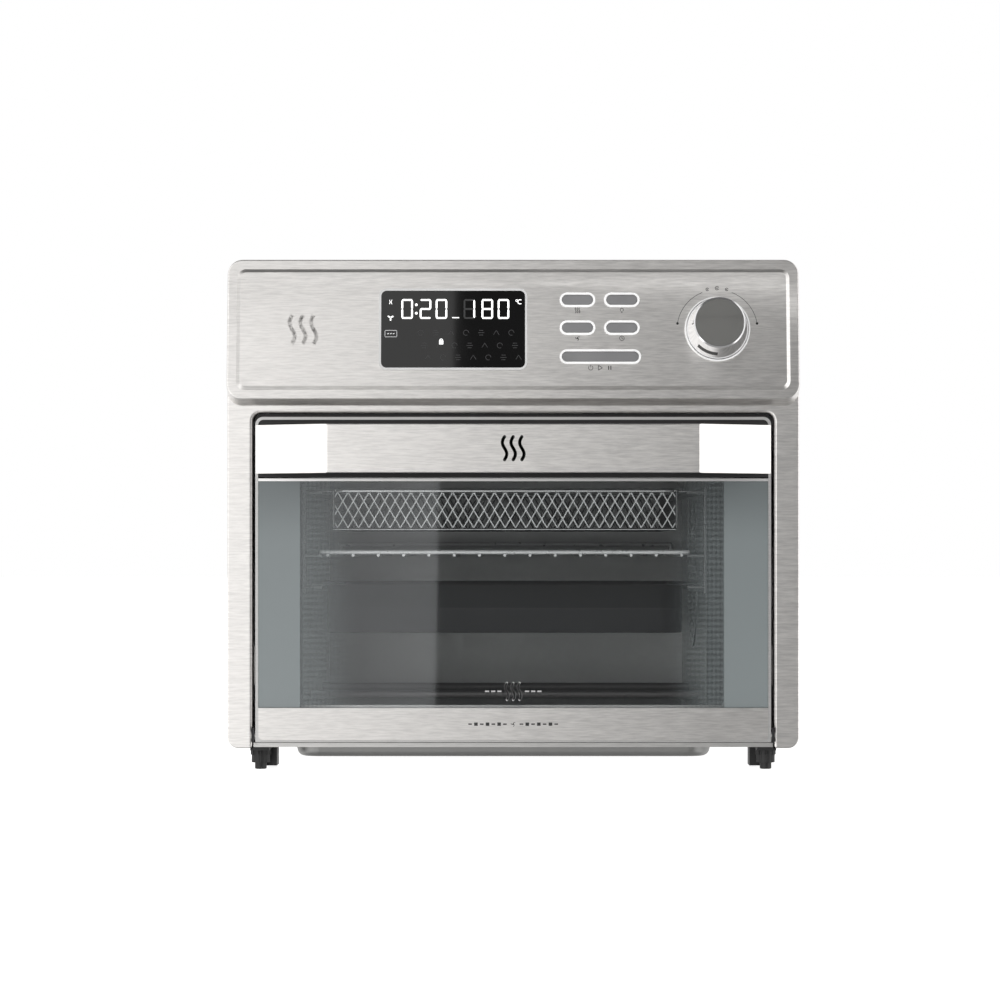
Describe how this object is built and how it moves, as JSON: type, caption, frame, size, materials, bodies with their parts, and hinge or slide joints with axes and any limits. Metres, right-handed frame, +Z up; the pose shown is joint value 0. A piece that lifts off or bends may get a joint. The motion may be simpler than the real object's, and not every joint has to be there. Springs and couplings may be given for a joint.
{
  "type": "toaster oven",
  "caption": "Countertop convection toaster oven with a drop-down glass door, sloping control panel, knob, buttons, rack, basket and pan.",
  "frame": {"origin": "on the table, under the middle of the oven's box", "axes": "+X to the oven's right as seen from the front, the door faces -Y, +Z up"},
  "size_m": [0.416, 0.384, 0.3716],
  "materials": {
    "steel": "horizontally brushed stainless steel",
    "door_rim": "polished folded edge",
    "zinc": "aluminised sheet, satin",
    "chrome": "bright plated",
    "basket_wire": "expanded steel mesh, satin",
    "button": "satin metallic grey",
    "cap": "spun dark aluminium",
    "display": "black gloss window",
    "black_plastic": "moulded black, fine texture",
    "board": "circuit board",
    "glass": "tinted tempered glass",
    "fastener": "plain zinc plated",
    "heater": "oxidised sheath",
    "ceramic": "unglazed white",
    "enamel": "dark non-stick enamel",
    "motor": "lacquered motor can",
    "lamp": "clear lamp cover"
  },
  "bodies": {
    "cabinet": {"front_frame": "steel", "outer_cabinet": "steel", "rear_panel": "zinc", "base_plate": "zinc", "base_pan": "zinc", "cabinet_screws": "fastener", "cord_gland": "black_plastic", "control_panel": "steel", "display_bezel": "chrome", "display_window": "display", "display_module": "black_plastic", "button_rims": "chrome", "control_board": "board", "encoder": "black_plastic", "knob_ring": "chrome", "hinge_brackets": "zinc", "door_springs": "fastener", "mouth_frame": "zinc", "cavity_wall_left": "zinc", "cavity_wall_right": "zinc", "cavity_ceiling": "zinc", "cavity_floor": "zinc", "cavity_back": "zinc", "lower_heaters": "heater", "upper_heaters": "heater", "heater_insulators": "ceramic", "fan_guard": "zinc", "fan_housing": "zinc", "fan_motor": "motor", "oven_lamp": "lamp", "temperature_probe": "fastener", "power_board": "board", "front_foot_left": "black_plastic", "front_foot_right": "black_plastic", "rear_foot_left": "black_plastic", "rear_foot_right": "black_plastic", "rack_guide_left": "zinc", "rack_guide_right": "zinc"},
    "door": {"door_frame": "door_rim", "door_glass": "glass", "handle_base": "black_plastic", "door_handle": "steel", "door_bottom_trim": "steel", "hinge_pins": "fastener", "door_screws": "fastener", "door_arms": "zinc"},
    "knob": {"knob": "chrome", "knob_cap": "cap", "encoder_shaft": "fastener"},
    "fan": {"fan_impeller": "zinc", "fan_shaft": "fastener"},
    "rack": {"wire_rack": "chrome"},
    "basket": {"air_fry_basket": "basket_wire"},
    "pan": {"baking_pan": "enamel"},
    "crumb_tray": {"crumb_tray": "zinc"},
    "button_preheat": {"button_preheat": "button"},
    "button_light": {"button_light": "button"},
    "button_air": {"button_air": "button"},
    "button_timer": {"button_timer": "button"},
    "button_start": {"button_start": "button"}
  },
  "joints": [
    {"name": "door_hinge", "type": "hinge", "parent": "cabinet", "child": "door", "pos_m": [0, -0.163, 0.025], "axis": [1, 0, 0], "range_deg": [0, 85], "stiffness_Nm_per_rad": 0.3, "springref_deg": -57.3},
    {"name": "knob_turn", "type": "hinge", "parent": "cabinet", "child": "knob", "pos_m": [0.1482, -0.16198, 0.32002], "axis": [0, -0.9925, 0.1219], "continuous": true},
    {"name": "fan_spin", "type": "hinge", "parent": "cabinet", "child": "fan", "pos_m": [0.15, 0.01, 0.14], "axis": [1, 0, 0], "continuous": true},
    {"name": "basket_slide", "type": "slide", "parent": "cabinet", "child": "basket", "axis": [0, -1, 0], "range_m": [0, 0.172]},
    {"name": "rack_slide", "type": "slide", "parent": "cabinet", "child": "rack", "axis": [0, -1, 0], "range_m": [0, 0.224]},
    {"name": "pan_slide", "type": "slide", "parent": "cabinet", "child": "pan", "axis": [0, -1, 0], "range_m": [0, 0.142]},
    {"name": "crumb_tray_slide", "type": "slide", "parent": "cabinet", "child": "crumb_tray", "axis": [0, -1, 0], "range_m": [0, 0.034]},
    {"name": "button_preheat_press", "type": "slide", "parent": "cabinet", "child": "button_preheat", "axis": [0, 0.9925, -0.1219], "range_m": [0, 0.001], "stiffness_N_per_m": 400, "springref_m": -0.001},
    {"name": "button_light_press", "type": "slide", "parent": "cabinet", "child": "button_light", "axis": [0, 0.9925, -0.1219], "range_m": [0, 0.001], "stiffness_N_per_m": 400, "springref_m": -0.001},
    {"name": "button_air_press", "type": "slide", "parent": "cabinet", "child": "button_air", "axis": [0, 0.9925, -0.1219], "range_m": [0, 0.001], "stiffness_N_per_m": 400, "springref_m": -0.001},
    {"name": "button_timer_press", "type": "slide", "parent": "cabinet", "child": "button_timer", "axis": [0, 0.9925, -0.1219], "range_m": [0, 0.001], "stiffness_N_per_m": 400, "springref_m": -0.001},
    {"name": "button_start_press", "type": "slide", "parent": "cabinet", "child": "button_start", "axis": [0, 0.9925, -0.1219], "range_m": [0, 0.001], "stiffness_N_per_m": 400, "springref_m": -0.001}
  ],
  "couplings": [
    {"joint": "basket_slide", "follows": "door_hinge", "m_per_rad": 0.115},
    {"joint": "rack_slide", "follows": "door_hinge", "m_per_rad": 0.15},
    {"joint": "pan_slide", "follows": "door_hinge", "m_per_rad": 0.095},
    {"joint": "crumb_tray_slide", "follows": "door_hinge", "m_per_rad": 0.022}
  ]
}
